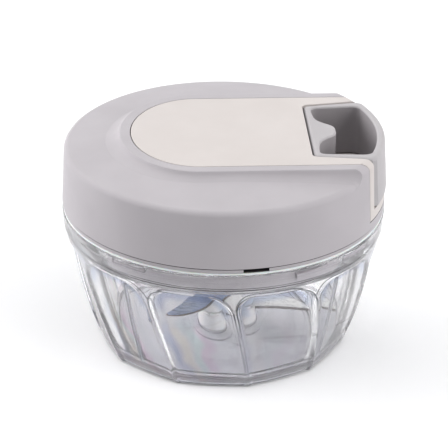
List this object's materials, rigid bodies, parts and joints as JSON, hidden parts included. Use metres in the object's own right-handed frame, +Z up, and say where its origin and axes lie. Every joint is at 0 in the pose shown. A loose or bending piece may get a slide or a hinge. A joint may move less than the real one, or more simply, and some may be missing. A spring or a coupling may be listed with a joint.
{
  "type": "pull-cord food chopper",
  "caption": "Round food chopper with a clear bowl, stacked curved blades on a hub and a lid whose sprung pull cord and docked grip spin them.",
  "frame": {"origin": "middle of the bowl's flat underside, on the table", "axes": "+Z up along the bowl's axis, +X the way the grip is pulled out of the lid"},
  "size_m": [0.1253, 0.125, 0.0855],
  "materials": {
    "clear": "clear, smooth",
    "lid_grey": "satin grey",
    "panel_pale": "satin pale grey",
    "hub_white": "smooth white",
    "inner_plastic": "plain moulded",
    "blade_steel": "brushed, ground edges",
    "steel": "plain steel",
    "seal": "soft translucent white",
    "cord": "braided, off-white"
  },
  "bodies": {
    "bowl": {"bowl": "clear", "bowl_pin": "steel"},
    "blades": {"pin_bush": "inner_plastic", "hub_core": "hub_white", "hub_cap": "hub_white", "blade_lower": "blade_steel", "blade_middle": "blade_steel", "blade_upper": "blade_steel", "blade_spacer_lower": "hub_white", "blade_spacer_upper": "hub_white"},
    "lid_ring": {"lid_seal": "seal"},
    "lid": {"lid_base": "lid_grey", "lid_cover": "lid_grey", "top_panel": "panel_pale", "cover_screw_1": "steel", "cover_screw_2": "steel", "cover_screw_3": "steel", "cover_screw_4": "steel", "drive_seal": "seal", "spring_cup": "inner_plastic", "rewind_spring": "steel", "spring_plate": "steel", "cord_run": "cord", "cord_guide": "steel"},
    "handle": {"pull_handle": "lid_grey", "cord_lead": "cord", "cord_stop": "steel"},
    "reel": {"reel": "inner_plastic", "drive_shaft": "steel", "drive_dog": "inner_plastic", "cord_winding": "cord"}
  },
  "joints": [
    {"name": "lid_lift", "type": "slide", "parent": "bowl", "child": "lid_ring", "axis": [0, 0, 1], "range_m": [0, 0.06]},
    {"name": "lid_twist", "type": "hinge", "parent": "lid_ring", "child": "lid", "pos_m": [0, 0, 0.0558], "axis": [0, 0, 1], "range_deg": [0, 20]},
    {"name": "handle_pull", "type": "slide", "parent": "lid", "child": "handle", "axis": [1, 0, 0], "range_m": [0, 0.25], "stiffness_N_per_m": 12, "springref_m": -0.15, "deforming": ["cord_lead"]},
    {"name": "reel_spin", "type": "hinge", "parent": "lid", "child": "reel", "pos_m": [0, 0, 0.07], "axis": [0, 0, 1], "range_deg": [0, 955], "deforming": ["cord_winding"]},
    {"name": "blade_spin", "type": "hinge", "parent": "bowl", "child": "blades", "pos_m": [0, 0, 0.02], "axis": [0, 0, 1], "range_deg": [0, 955]}
  ],
  "couplings": [
    {"joint": "reel_spin", "follows": "handle_pull", "rad_per_m": 66.225},
    {"joint": "blade_spin", "follows": "handle_pull", "rad_per_m": 66.225}
  ]
}
